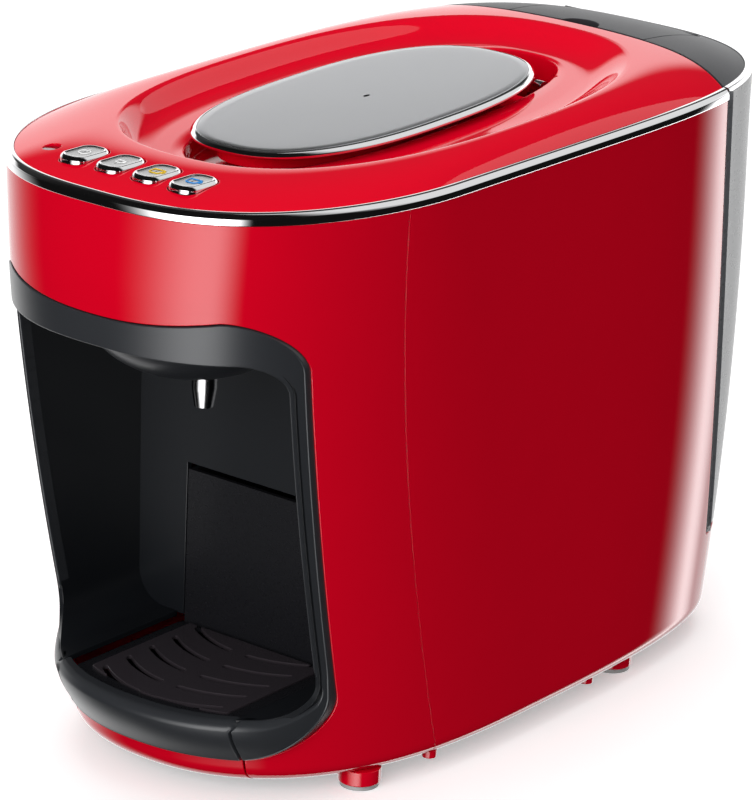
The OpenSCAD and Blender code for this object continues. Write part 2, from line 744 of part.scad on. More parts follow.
module tank_valve() {
    color("orange") translate([0, valve_y, 0]) {
        translate([0, 0, 39.5]) cylinder(r = 1.6, h = 9, $fn = 40);
        translate([0, 0, 48.5]) cylinder(r = 4.2, h = 1.6, $fn = 40);
    }
}
module valve_spring() {
    color("silver") translate([0, valve_y, 50.3]) coil(2.8, 0.5, 7, 3);
}
module tank_strainer() {
    color("white") translate([0, valve_y, 0]) rotate_extrude($fn = 48)
        polygon([[0, 58.6], [0, 57.6], [4.8, 57.6], [4.8, 48.5], [5.6, 48.5], [5.6, 58.6]]);
}

front_shell();
rear_shell();
top_cover();
chrome_band();
niche_frame();
niche_liner();
base_plate();
base_feet();
foot_pads();
brew_head();
coffee_spout();
brew_chamber();
capsule_chute();
brew_piston();
piston_seal();
pump();
pump_mounts();
flow_meter();
heater();
water_hoses();
control_board();
button_board();
status_light();
power_inlet();
housing_screws();
tank_seat();
lever_bracket();
lever_pin();
lever_base();
lever_trim();
lever_plate();
power_button();
small_cup_button();
large_cup_button();
hot_water_button();
button_springs();
drawer_front();
drawer_trim();
drip_tray();
drip_grate();
capsule_bin();
water_tank();
tank_lid();
tank_rim();
tank_flap();
flap_pin();
tank_valve();
valve_spring();
tank_strainer();
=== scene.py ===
"""Looks of the pod coffee machine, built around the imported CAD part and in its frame.

Shapes are worked out in millimetres with the same laws as the part's source, and become
metres when a mesh is made.
"""
import math

import bpy
import numpy as np
from mathutils import Matrix, Vector


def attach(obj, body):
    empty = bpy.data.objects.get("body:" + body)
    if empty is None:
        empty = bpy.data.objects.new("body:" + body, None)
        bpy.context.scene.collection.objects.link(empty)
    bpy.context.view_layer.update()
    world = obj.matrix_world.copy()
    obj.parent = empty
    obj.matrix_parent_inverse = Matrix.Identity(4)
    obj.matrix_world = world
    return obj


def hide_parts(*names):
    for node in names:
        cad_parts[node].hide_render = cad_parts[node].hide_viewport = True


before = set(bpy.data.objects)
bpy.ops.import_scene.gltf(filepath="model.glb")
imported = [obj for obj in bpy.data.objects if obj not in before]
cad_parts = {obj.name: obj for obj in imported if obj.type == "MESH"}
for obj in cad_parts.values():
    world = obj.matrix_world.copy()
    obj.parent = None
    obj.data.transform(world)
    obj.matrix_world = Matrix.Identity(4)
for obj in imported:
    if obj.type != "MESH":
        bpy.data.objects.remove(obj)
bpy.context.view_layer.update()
MM = 0.001

# ---- Driving dimensions, as in the part's source ----
BODY_W, BODY_D = 180.0, 363.0
BAND_Z, BASE_Z = 242.0, 8.0
BAND_PROUD = 0.5
SIDE_TAPER = 5.5
UNDERCUT, TAIL_UNDERCUT = 36.0, 22.0
SHOULDER_Z, TAIL_Z = 215.0, 201.5
EDGE_R = 6.0
WALL = 2.4
GAP = 0.3
FRAME_HW, FRAME_LOW, FRAME_TOP = 71.0, 19.0, 204.0
NICHE_HW, NICHE_TOP, NICHE_BACK = 66.5, 187.5, -73.0
LIP_Z = 38.0
OUTSIDE = (FRAME_HW, 3.0, FRAME_LOW, FRAME_TOP, 28.0, 20.0, 4.5)
INSIDE = (NICHE_HW, 2.2, LIP_Z, NICHE_TOP, 14.0, 12.0, 0.0)
RING_T = 2.6
DRAWER_HW = 43.5
BIN_HW = DRAWER_HW - 3.6
BIN_TOP = 100.0
REAR_R, REAR_Y, REAR_TILT = 271.0, 124.0, math.radians(5.2)
TANK_FOOT_Z = 46.0
DISH_Y, DISH_L, DISH_W, DISH_E = -9.5, 124.5, 69.5, 2.5
WELL_Y, WELL_L, WELL_W, WELL_Z = -11.5, 103.5, 36.0, 236.0
LEVER_LEN, LEVER_W, LEVER_Y, LEVER_Z = 177.0, 83.5, -18.5, 248.2
LEVER_TILT = math.radians(1.7)
HEAD_Y, BOWL_D, BOWL_R, SPOUT_Y = -121.0, 23.0, 41.0, -113.0
BUTTON_PITCH, BUTTON_W, BUTTON_L = 17.6, 13.0, 19.4
BUTTON_Y, BUTTON_TOP = -155.0, 251.2
BUTTON_X = [i * BUTTON_PITCH for i in (-1.5, -0.5, 0.5, 1.5)]
LIGHT_X, LIGHT_Y = -2.5 * BUTTON_PITCH, BUTTON_Y + 1.5
FLAP_HW, FLAP_Y, FLAP_Z, NOTCH_R = 34.0, 163.0, 249.0, 9.3
LIGHT_R = 3.6
POCKET = (BUTTON_W + 0.8, BUTTON_L + 0.8, 5.4)
CAPSULE_SLOT = (0, -52, 40, 32, 1.0)
HINGE_SLOT_X, HINGE_SLOT = 24.6, (64.5, 5, 17, 0.8)
COVER_T, COVER_EDGE = 2.4, 0.35
DOME_RISE = 4.6
VALVE_Y = 153.4
GRATE_TOP, GRATE_HW, GRATE_BACK = 36.2, 40.1, -76.0
SLOT_ROWS = [-143.0 + 14 * k for k in range(5)]
SLOT_R, SLOT_W, SLOT_MID, SLOT_END = 50.0, 2.6, 3.6, 30.0
FEET = ((63.5, -88), (68, 77))
NUBS = ((74, -57), (76, 47))
# Plan of the body at the band and at the base: widest points, and how square nose and tail are
NOSE_MID, TAIL_MID = (-75, 5), (-18, 8)
NOSE_ACROSS, NOSE_ALONG = (2.78, 2.2), (1.95, 2.8)
TAIL_ACROSS, TAIL_ALONG = (2.67, 6), (4.5, 3)
# Points in half of an outline, and the rounding of edges
FRONT_STEPS, BACK_STEPS = 110, 96
EDGE, SEAM_EDGE, LIP_ROUND = 0.45, 0.12, 4.2
FAR = 500.0


def mix(a, b, t):
    return a + (b - a) * t


def down(z):
    return (BAND_Z - z) / (BAND_Z - BASE_Z)


def squarer(z):
    return max(0.0, down(z)) ** 1.48


def half_w(z):
    return BODY_W / 2 - SIDE_TAPER * down(z)


def nose_y(z):
    return -BODY_D / 2 + UNDERCUT * max(0.0, (SHOULDER_Z - z) / (SHOULDER_Z - BASE_Z)) ** 1.6


def tail_y(z):
    return BODY_D / 2 - TAIL_UNDERCUT * max(0.0, (TAIL_Z - z) / (TAIL_Z - BASE_Z)) ** 1.8


def seam_y(z):
    return -103 + 43 * np.clip(down(z), 0, None) ** 1.7


def drawer_hw(z):
    """Half width of the drawer's face at height z."""
    return DRAWER_HW - 1.2 * (LIP_Z - z) / 34


def lip_swell(z):
    reach = np.where(z > 34, 26, 20)
    return 5 * np.clip(1 - ((z - 34) / reach) ** 2, 0, None) ** 2


def lip_fade(x):
    return np.clip(1 - (np.abs(x) / FRAME_HW) ** 4, 0, None)


def crown(y):
    return mix(3.6, 10.5, (y + BODY_D / 2) / BODY_D)


def rim_z(y):
    return BAND_Z + DOME_RISE + crown(y)


def dish_floor_z(y):
    return 243.2 + 0.0275 * (y + 104)


# ---- Plan outlines ----
def even(points, n, keep_last=False):
    """n points at equal steps along a line of points."""
    length = np.concatenate([[0], np.cumsum(np.hypot(*np.diff(points, axis=0).T))])
    at = np.linspace(0, length[-1], n + 1)
    out = np.stack([np.interp(at, length, points[:, k]) for k in (0, 1)], 1)
    return out if keep_last else out[:-1]


def quarter(a, b, p, q):
    """Quarter of a superellipse from (0, b) to (a, 0)."""
    s = np.linspace(0, 1, 700)
    t = math.pi / 2 * s * s * (3 - 2 * s)
    return np.stack([a * np.sin(t) ** (2 / p), b * np.abs(np.cos(t)) ** (2 / q)], 1)


def ring(z, inset=0.0):
    """Closed plan outline of the body at height z, from the nose round by the right side."""
    w, m, d = half_w(z) - inset, squarer(z), down(z)
    front, back = mix(*NOSE_MID, d), mix(*TAIL_MID, m)
    middle = (front + back) / 2
    nose = quarter(w, front - nose_y(z) - inset, mix(*NOSE_ACROSS, d), mix(*NOSE_ALONG, d))
    tail = quarter(w, tail_y(z) - inset - back, mix(*TAIL_ACROSS, m), mix(*TAIL_ALONG, m))
    nose = np.concatenate([nose * [1, -1] + [0, front], [[w, middle]]])
    tail = np.concatenate([[[w, middle]], (tail + [0, back])[::-1]])
    right = np.concatenate([even(nose, FRONT_STEPS), even(tail, BACK_STEPS, True)])
    return np.concatenate([right[:-1], (right * [-1, 1])[::-1][:-1]])


def oval(hw, hl, yc):
    """Closed plan outline of the dish, the well and the lever, from the front round by the right."""
    q = quarter(hw, hl, DISH_E, DISH_E)
    right = np.concatenate(
        [even(q * [1, -1], FRONT_STEPS), even(q[::-1], BACK_STEPS, True)]
    ) + [0, yc]
    return np.concatenate([right[:-1], (right * [-1, 1])[::-1][:-1]])


def at_z(points, z):
    z = np.broadcast_to(np.asarray(z, float), (len(points),))
    return np.column_stack([points, z])


# ---- Distances used to trim surfaces, positive where the surface is kept ----
def joint_inside(P, offset=0.0):
    """How far a point lies in front of the joint between body and tank."""
    y, z = P[:, 1] - (REAR_Y - REAR_R + offset), P[:, 2] - BAND_Z
    back = y * math.cos(REAR_TILT) + z * math.sin(REAR_TILT)
    return REAR_R - np.hypot(P[:, 0], back)


def joint_y(x, z, offset=0.0):
    """Where the joint between body and tank lies at x and z."""
    back = np.sqrt(np.clip(REAR_R**2 - x**2, 0, None))
    y = (back - (z - BAND_Z) * math.sin(REAR_TILT)) / math.cos(REAR_TILT)
    return y + REAR_Y - REAR_R + offset


def upright(x, z, hw, lean, low, high, r_low, r_high, dip):
    """Signed distance to an upright rounded outline that narrows to its foot, negative inside."""
    side = hw - lean * np.clip((high - r_high - z) / (high - r_high - low - r_low), 0, 1)
    top = high - dip * np.clip(1 - (x / (hw - r_high)) ** 2, 0, 1)
    upper = z > (low + high) / 2
    r = np.where(upper, r_high, r_low)
    qx, qz = np.abs(x) - side + r, np.where(upper, z - top, low - z) + r
    outside = np.hypot(np.clip(qx, 0, None), np.clip(qz, 0, None))
    return outside + np.minimum(np.maximum(qx, qz), 0) - r


def frame_out(P):
    return np.where(P[:, 1] < -40, upright(P[:, 0], P[:, 2], *OUTSIDE), FAR)


def frame_in(P):
    return upright(P[:, 0], P[:, 2], *INSIDE)


def beside_drawer(P, below):
    """Distance outside the drawer's face, for points lower than below."""
    d = np.abs(P[:, 0]) - drawer_hw(P[:, 2])
    return np.where((P[:, 1] < -40) & (P[:, 2] < below), d, FAR)


def pad(P, cx, cy, w, l, r):
    """Signed distance in plan to a rounded rectangle, negative inside."""
    qx, qy = np.abs(P[:, 0] - cx) - w / 2 + r, np.abs(P[:, 1] - cy) - l / 2 + r
    outside = np.hypot(np.clip(qx, 0, None), np.clip(qy, 0, None))
    return outside + np.minimum(np.maximum(qx, qy), 0) - r


# ---- Surfaces ----
def unit(v):
    return v / np.maximum(np.linalg.norm(v, axis=-1, keepdims=True), 1e-12)


class Skin:
    """A surface as points, normals and faces; all in millimetres."""

    def __init__(self, V, N, F):
        self.V, self.N, self.F = V, N, F

    @classmethod
    def grid(cls, G, closed=True, flip=False):
        """G is rows x columns x 3. Normals point out when rows rise and columns turn left."""
        G = np.asarray(G, float)
        rows, cols = G.shape[:2]
        along = unit(np.diff(G, axis=0))
        tv = unit(np.concatenate([along[:1], along]) + np.concatenate([along, along[-1:]]))
        if closed:
            step = unit(np.roll(G, -1, 1) - G)
            tu = unit(step + np.roll(step, 1, 1))
        else:
            step = unit(np.diff(G, axis=1))
            tu = unit(np.concatenate([step[:, :1], step], 1) + np.concatenate([step, step[:, -1:]], 1))
        N = unit(np.cross(tu, tv))
        F = []
        for k in range(rows - 1):
            for i in range(cols if closed else cols - 1):
                j = (i + 1) % cols
                a, b = k * cols, (k + 1) * cols
                F.append([a + i, a + j, b + j, b + i])
        if flip:
            N, F = -N, [f[::-1] for f in F]
        return cls(G.reshape(-1, 3), N.reshape(-1, 3), F)

    def clip(self, law):
        """Keeps the part of the surface where law(points) is positive."""
        s = np.array(law(self.V), float)
        s[np.abs(s) < 0.02] = 0
        V, N, F, cut = list(self.V), list(self.N), [], {}

        def crossing(a, b):
            key = (a, b) if a < b else (b, a)
            if key in cut:
                return cut[key]
            a, b = key
            lo, hi, flo = 0.0, 1.0, s[a]
            fhi = s[b]
            for _ in range(5):
                t = lo + (hi - lo) * flo / (flo - fhi)
                f = float(law((self.V[a] + (self.V[b] - self.V[a]) * t)[None])[0])
                if (f > 0) == (flo > 0):
                    lo, flo = t, f
                else:
                    hi, fhi = t, f
                if abs(f) < 1e-3 or abs(flo - fhi) < 1e-9:
                    break
            V.append(self.V[a] + (self.V[b] - self.V[a]) * t)
            N.append(unit(self.N[a] + (self.N[b] - self.N[a]) * t))
            cut[key] = len(V) - 1
            return cut[key]

        for f in self.F:
            side = s[f]
            if (side >= 0).all():
                if (side > 0).any():
                    F.append(f)
                continue
            if (side <= 0).all():
                continue
            out = []
            for k, a in enumerate(f):
                b = f[(k + 1) % len(f)]
                if s[a] >= 0:
                    out.append(a)
                if s[a] * s[b] < 0:
                    out.append(crossing(a, b))
            if len(out) > 2:
                F.append(out)
        return Skin(np.array(V), np.array(N), F).tidy()

    def tidy(self):
        used = np.unique(np.concatenate([np.asarray(f) for f in self.F]))
        index = np.full(len(self.V), -1)
        index[used] = np.arange(len(used))
        return Skin(self.V[used], self.N[used], [[int(index[i]) for i in f] for f in self.F])

    def flipped(self):
        return Skin(self.V, -self.N, [f[::-1] for f in self.F])

    def facing(self, k, axis, sign):
        """The surface with its normal at point k on the given side of the axis."""
        return self if self.N[k][axis] * sign > 0 else self.flipped()

    def rim(self):
        """Directed edges with a face on one side only."""
        edges = {}
        for f in self.F:
            for k, a in enumerate(f):
                edges[(a, f[(k + 1) % len(f)])] = True
        return [e for e in edges if (e[1], e[0]) not in edges]

    def plate(self, thick, radius=0.35, steps=3, towards=None):
        """Thickens the surface and rounds its edges; towards is the way the thickness goes."""
        count = len(self.V)
        inward = -self.N if towards is None else np.tile(np.array(towards, float), (count, 1))
        V, N = [self.V, self.V + inward * thick], [self.N, -self.N]
        F = self.F + [[i + count for i in f[::-1]] for f in self.F]
        edges = self.rim()
        sideways = {}
        for a, b in edges:
            way = unit(np.cross(self.V[b] - self.V[a], -inward[a]))
            for i in (a, b):
                sideways.setdefault(i, []).append(way)
        ids = sorted(sideways)
        place = {i: k for k, i in enumerate(ids)}
        out = unit(np.array([np.sum(sideways[i], 0) for i in ids]))
        edge, into, normal = self.V[ids], inward[ids], self.N[ids]
        r = radius(edge) if callable(radius) else np.full(len(ids), float(radius))
        r = r[:, None]
        lean = 1.0 if towards is None else np.clip(np.hypot(out[:, :1], out[:, 2:]), 0.3, 1)
        corner = edge + out * r / lean
        end = corner + into * r
        rings = []
        for t in np.arange(1, steps + 1) / steps:
            way = 2 * (1 - t) * (corner - edge) + 2 * t * (end - corner)
            along, rise = np.sum(way * out, 1), np.sum(way * normal, 1)
            rings.append((edge * (1 - t) ** 2 + corner * 2 * t * (1 - t) + end * t * t,
                          unit(normal * along[:, None] - out * rise[:, None])))
        rings.append((corner + into * thick, rings[-1][1]))
        starts = [2 * count + k * len(ids) for k in range(len(rings))]
        for points, normals in rings:
            V.append(points)
            N.append(normals)
        for a, b in edges:
            i, j = place[a], place[b]
            F.append([b, a, starts[0] + i, starts[0] + j])
            for low, high in zip(starts, starts[1:]):
                F.append([low + j, low + i, high + i, high + j])
            F.append([starts[-1] + j, starts[-1] + i, count + a, count + b])
        return Skin(np.concatenate(V), np.concatenate(N), F)

    def __add__(self, other):
        n = len(self.V)
        return Skin(
            np.concatenate([self.V, other.V]),
            np.concatenate([self.N, other.N]),
            self.F + [[i + n for i in f] for f in other.F],
        )

    def moved(self, matrix):
        M = np.array(matrix, float)
        return Skin(self.V @ M[:3, :3].T + M[:3, 3], self.N @ M[:3, :3].T, self.F)


def piece(name, skin, material, body, slot, *nodes):
    """Makes the Blender object of a skin; it rides on body and stands for the CAD nodes."""
    mesh = bpy.data.meshes.new(name)
    mesh.from_pydata((skin.V * MM).tolist(), [], skin.F)
    mesh.polygons.foreach_set("use_smooth", [True] * len(mesh.polygons))
    mesh.update()
    mesh.normals_split_custom_set_from_vertices(unit(skin.N).tolist())
    mesh.materials.append(material)
    obj = bpy.data.objects.new(name, mesh)
    bpy.context.scene.collection.objects.link(obj)
    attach(obj, body)
    if nodes:
        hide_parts(*nodes)
    return obj


def bent(points, radius, steps=5):
    """A line of points with its inner corners rounded; radius may be one number or a list."""
    P = np.asarray(points, float)
    radii = [radius] * len(P) if np.isscalar(radius) else radius
    out = [P[0]]
    for k in range(1, len(P) - 1):
        a, b, c = P[k - 1], P[k], P[k + 1]
        u, v = unit(a - b), unit(c - b)
        r = min(radii[k], 0.49 * np.linalg.norm(a - b), 0.49 * np.linalg.norm(c - b))
        if r < 1e-3:
            out.append(b)
            continue
        for t in np.linspace(0, 1, steps):
            out.append((b + u * r) * (1 - t) ** 2 + 2 * b * t * (1 - t) + (b + v * r) * t**2)
    out.append(P[-1])
    return np.array(out)


def turned(profile, radius=0.4, sides=96):
    """A surface of revolution about Z from (r, z) points, outside first going up."""
    line = bent(profile, radius)
    a = np.linspace(0, 2 * math.pi, sides, endpoint=False)
    return Skin.grid([[(r * math.cos(t), r * math.sin(t), z) for t in a] for r, z in line])


def rounded_ring(w, l, r, steps=8):
    """Closed plan ring of a rounded rectangle, going round to the left."""
    out = []
    for sx, sy, a0 in ((1, -1, 270), (1, 1, 0), (-1, 1, 90), (-1, -1, 180)):
        for a in np.linspace(0, 90, steps, endpoint=False) + a0:
            a = math.radians(a)
            out.append((sx * (w / 2 - r) + r * math.cos(a), sy * (l / 2 - r) + r * math.sin(a)))
    return np.array(out)


# ---- Materials ----
def node_material(name, color, rough, metal=0.0, coat=0.0, coat_rough=0.03, grain=0.0,
                  grain_scale=900.0, vary=0.04, spec=0.5, transmission=0.0, streak=None):
    """A procedural surface: tone that varies a little, a fine bump, and an optional clear coat."""
    mat = bpy.data.materials.new(name)
    mat.use_nodes = True
    nodes, links = mat.node_tree.nodes, mat.node_tree.links
    shader = nodes["Principled BSDF"]
    shader.inputs["Metallic"].default_value = metal
    shader.inputs["Coat Weight"].default_value = coat
    shader.inputs["Coat Roughness"].default_value = coat_rough
    shader.inputs["Specular IOR Level"].default_value = spec
    shader.inputs["Transmission Weight"].default_value = transmission
    place = nodes.new("ShaderNodeTexCoord")
    stretch = nodes.new("ShaderNodeMapping")
    stretch.inputs["Scale"].default_value = streak or (1, 1, 1)
    links.new(place.outputs["Object"], stretch.inputs["Vector"])
    noise = nodes.new("ShaderNodeTexNoise")
    noise.inputs["Scale"].default_value = grain_scale
    noise.inputs["Detail"].default_value = 3
    links.new(stretch.outputs["Vector"], noise.inputs["Vector"])
    tone = nodes.new("ShaderNodeMix")
    tone.data_type = "RGBA"
    tone.inputs[6].default_value = (*[c * (1 - vary) for c in color], 1)
    tone.inputs[7].default_value = (*[min(1, c * (1 + vary)) for c in color], 1)
    links.new(noise.outputs["Fac"], tone.inputs[0])
    links.new(tone.outputs[2], shader.inputs["Base Color"])
    span = nodes.new("ShaderNodeMapRange")
    span.inputs["To Min"].default_value = rough * 0.9
    span.inputs["To Max"].default_value = rough * 1.1
    links.new(noise.outputs["Fac"], span.inputs["Value"])
    links.new(span.outputs["Result"], shader.inputs["Roughness"])
    if grain:
        bump = nodes.new("ShaderNodeBump")
        bump.inputs["Strength"].default_value = grain
        bump.inputs["Distance"].default_value = 0.0002
        links.new(noise.outputs["Fac"], bump.inputs["Height"])
        links.new(bump.outputs["Normal"], shader.inputs["Normal"])
    return mat


RED = node_material("red_gloss", (0.70, 0.0008, 0.016), 0.45, coat=1.0, coat_rough=0.04,
                    grain_scale=60, vary=0.02, spec=0.0)
CHROME = node_material("chrome_trim", (0.86, 0.86, 0.87), 0.06, metal=1, grain_scale=200, vary=0.01)
GRAPHITE = node_material("frame_graphite", (0.027, 0.029, 0.033), 0.30, grain=0.03,
                         grain_scale=1500, vary=0.05)
BLACK = node_material("niche_black", (0.008, 0.009, 0.011), 0.35, grain=0.04, grain_scale=1400)
LEVER_METAL = node_material("lever_satin", (0.66, 0.67, 0.69), 0.30, metal=1, grain=0.06,
                            grain_scale=500, vary=0.03, streak=(14, 0.5, 1))
BUTTON_FACE = node_material("button_satin", (0.62, 0.62, 0.62), 0.28, metal=1, grain=0.04,
                            grain_scale=900)
GRATE = node_material("grate_gloss", (0.035, 0.029, 0.034), 0.16, coat=0.4, grain_scale=700)
TRAY = node_material("tray_black", (0.010, 0.010, 0.012), 0.28, grain=0.03, grain_scale=1200)
SMOKE = node_material("tank_smoke", (0.13, 0.135, 0.145), 0.28, grain_scale=300,
                      transmission=0.12, vary=0.05)
CHARCOAL = node_material("lid_charcoal", (0.042, 0.043, 0.048), 0.42, grain=0.25,
                         grain_scale=2600, vary=0.12)
RUBBER = node_material("black_rubber", (0.012, 0.012, 0.012), 0.6, grain=0.08)
PAD = node_material("pad_grey", (0.42, 0.42, 0.42), 0.55, grain=0.08)
WHITE = node_material("white_plastic", (0.72, 0.72, 0.69), 0.4, grain=0.03)
STEEL = node_material("bright_steel", (0.62, 0.62, 0.63), 0.18, metal=1, grain=0.03,
                      streak=(1, 1, 8))
ALLOY = node_material("cast_alloy", (0.6, 0.6, 0.61), 0.42, metal=1, grain=0.3, grain_scale=1600)
BOARD = node_material("board_green", (0.015, 0.14, 0.05), 0.35, grain=0.05)
LENS = node_material("light_lens", (0.10, 0.0, 0.004), 0.12, coat=0.5)
HOSE = node_material("hose_silicone", (0.6, 0.6, 0.56), 0.3, grain=0.04, transmission=0.3)
ICON_WHITE = node_material("icon_white", (0.9, 0.9, 0.9), 0.4, grain_scale=400)
ICON_YELLOW = node_material("icon_yellow", (0.85, 0.55, 0.02), 0.4, grain_scale=400)
ICON_BLUE = node_material("icon_blue", (0.02, 0.28, 0.75), 0.4, grain_scale=400)

# ---- Red shells ----
bottom_angles = np.radians(np.arange(0, 91, 15))
shell_levels = [(BASE_Z, EDGE_R + 4.0), (BASE_Z, EDGE_R + 1.5)]
shell_levels += [
    (BASE_Z + EDGE_R * (1 - math.cos(a)), EDGE_R * (1 - math.sin(a))) for a in bottom_angles
]
shell_levels += [(z, 0.0) for z in np.arange(15.5, 64, 1.5)]
shell_levels += [(z, 0.0) for z in np.linspace(66, BAND_Z - 0.1, 62)]
BODY = Skin.grid([at_z(ring(z, BAND_PROUD + i), z) for z, i in shell_levels])


def shell_round(B):
    """The parting line between the shells is finer than the other edges."""
    near_seam = np.abs(B[:, 1] - seam_y(B[:, 2])) < 1.0
    return np.where(near_seam, SEAM_EDGE, EDGE)


front_skin = (
    BODY.clip(lambda P: seam_y(P[:, 2]) - 0.15 - SEAM_EDGE - P[:, 1])
    .clip(lambda P: frame_out(P) - GAP - EDGE)
    .clip(lambda P: beside_drawer(P, 30) - GAP - EDGE)
)
piece("front_shell_skin", front_skin.plate(WALL, shell_round), RED, "housing", "red_gloss", "front_shell")

rear_skin = BODY.clip(lambda P: P[:, 1] - seam_y(P[:, 2]) - 0.15 - SEAM_EDGE).clip(
    lambda P: np.maximum(joint_inside(P), TANK_FOOT_Z - 0.6 - P[:, 2]) - EDGE
)


def joint_half_width(z, inset, offset):
    """Where the joint meets the body outline at height z."""
    edge = ring(z, inset)[: FRONT_STEPS + BACK_STEPS]
    inside = joint_inside(at_z(edge, z), offset)
    k = int(np.argmax((inside < 0) & (np.arange(len(edge)) > FRONT_STEPS // 2)))
    t = inside[k - 1] / (inside[k - 1] - inside[k])
    return edge[k - 1] + (edge[k] - edge[k - 1]) * t


def joint_wall(levels, inset, offset):
    """The joint's own surface, inside the body outline."""
    rows = []
    for z in levels:
        hw = joint_half_width(z, inset, offset)[0]
        x = np.linspace(-hw, hw, 60)
        rows.append(np.column_stack([x, joint_y(x, z, offset), np.full(60, z)]))
    return Skin.grid(rows, closed=False)


def behind_joint(z, inset, offset, steps=80):
    """Plan curve of the body behind the joint, from its right end to its left end."""
    corner = joint_half_width(z, inset, offset)
    edge = ring(z, inset)
    back = edge[joint_inside(at_z(edge, z), offset) < -0.5]
    back = back[back[:, 1] > 60]
    back = back[np.argsort(-np.arctan2(back[:, 0], back[:, 1] - 60))]
    return even(np.concatenate([[corner], back, [corner * [-1, 1]]]), steps, True)


def joint_floor(z, inset, offset, rows=12):
    """Flat surface between the joint and the outline behind it."""
    outer = behind_joint(z, inset, offset)
    inner = np.column_stack([outer[:, 0], joint_y(outer[:, 0], z, offset)])
    return Skin.grid([at_z(mix(inner, outer, t), z) for t in np.linspace(0.001, 1, rows)],
                     closed=False)


wall_levels = np.linspace(TANK_FOOT_Z - 2, BAND_Z - 1, 40)
rear_wall = joint_wall(wall_levels, BAND_PROUD + WALL - 0.2, 0).flipped()
shelf = joint_floor(TANK_FOOT_Z - 0.6, BAND_PROUD + 0.8, -1.0).facing(0, 2, 1)
shelf = shelf.clip(lambda P: np.hypot(P[:, 0], P[:, 1] - VALVE_Y) - 5.7)
rear_all = rear_skin.plate(WALL, shell_round) + rear_wall.plate(WALL, 0.2) + shelf.plate(2.2, 0.2)
piece("rear_shell_skin", rear_all, RED, "housing", "red_gloss", "rear_shell")

# ---- Top cover, tank lid and flap: one domed surface, trimmed ----
EDGE_LINE = ring(BAND_Z, 3.4 + GAP)
RIM_LINE = oval(DISH_W, DISH_L, DISH_Y)


def dome_row(u):
    p = mix(EDGE_LINE, RIM_LINE, u)
    return at_z(p, BAND_Z + DOME_RISE + crown(p[:, 1]) * (1 - (1 - u) ** 2.2))


def dish_row(inset, drop):
    p = oval(DISH_W - inset, DISH_L - inset, DISH_Y - 0.6 * inset)
    return at_z(p, mix(rim_z(p[:, 1]), dish_floor_z(p[:, 1]), drop))


def dish_drop(s):
    return math.sin(math.pi / 2 * min(1, s / 13)) ** 1.35


dome_rows = [dome_row(u) for u in np.concatenate([np.linspace(0, 0.9, 22), [0.94, 0.97, 0.985]])]
crease = dish_row(0, 0)
crease[:, 2] -= 0.12
dish_rows = [crease] + [
    dish_row(s, dish_drop(s)) for s in (0.45, 0.9, 1.5, 2.2, 3, 4, 5, 6, 7, 8, 9, 10, 11, 12)
]
floor_row = dish_rows[-1]


def well_row(hw, hl, z):
    p = oval(hw, hl, WELL_Y)
    return at_z(p, dish_floor_z(p[:, 1]) if z is None else z)


lip_row = well_row(WELL_W + 1.6, WELL_L + 0.6, None)
well_rows = [mix(floor_row, lip_row, t) for t in (0.35, 0.7)] + [lip_row]
for a in np.radians([25, 50, 75, 90]):
    row = well_row(WELL_W + 1.6 * (1 - math.sin(a)), WELL_L + 0.6 * (1 - math.sin(a)), None)
    row[:, 2] -= 1.6 * (1 - math.cos(a))
    well_rows.append(row)
well_rows += [well_row(WELL_W - 0.7, WELL_L - 0.7, 239.5), well_row(WELL_W - 1.2, WELL_L - 1.2, 237.6)]
well_rows += [well_row(WELL_W - 1.9, WELL_L - 1.9, 236.5), well_row(WELL_W - 3.2, WELL_L - 3.2, WELL_Z)]
well_rows += [well_row(WELL_W * k, WELL_L * k, WELL_Z) for k in (0.75, 0.5, 0.25, 0.02)]
TOP = Skin.grid(dome_rows + dish_rows + well_rows)
DOME = Skin.grid(dome_rows + [crease])

cover = TOP.clip(lambda P: joint_inside(P, -0.2) - 0.4)
for bx in BUTTON_X:
    cover = cover.clip(lambda P, bx=bx: pad(P, bx, BUTTON_Y, *POCKET) - GAP)
cover = cover.clip(lambda P: np.hypot(P[:, 0] - LIGHT_X, P[:, 1] - LIGHT_Y) - LIGHT_R - GAP)
cover = cover.clip(lambda P: pad(P, *CAPSULE_SLOT) - GAP)
for side in (-1, 1):
    cover = cover.clip(lambda P, s=side: pad(P, s * HINGE_SLOT_X, *HINGE_SLOT) - GAP)
piece("top_cover_skin", cover.plate(COVER_T, COVER_EDGE), RED, "housing", "red_gloss", "top_cover")


def flap_area(P):
    """Signed distance to the flap's outline, negative inside."""
    return np.maximum(np.abs(P[:, 0]) - FLAP_HW, P[:, 1] - FLAP_Y - 2.4)


def beside_flap(P):
    """Distance outside the gap in the lid that the flap fills."""
    return np.maximum(np.abs(P[:, 0]) - FLAP_HW - 0.4, P[:, 1] - FLAP_Y - 3.75)


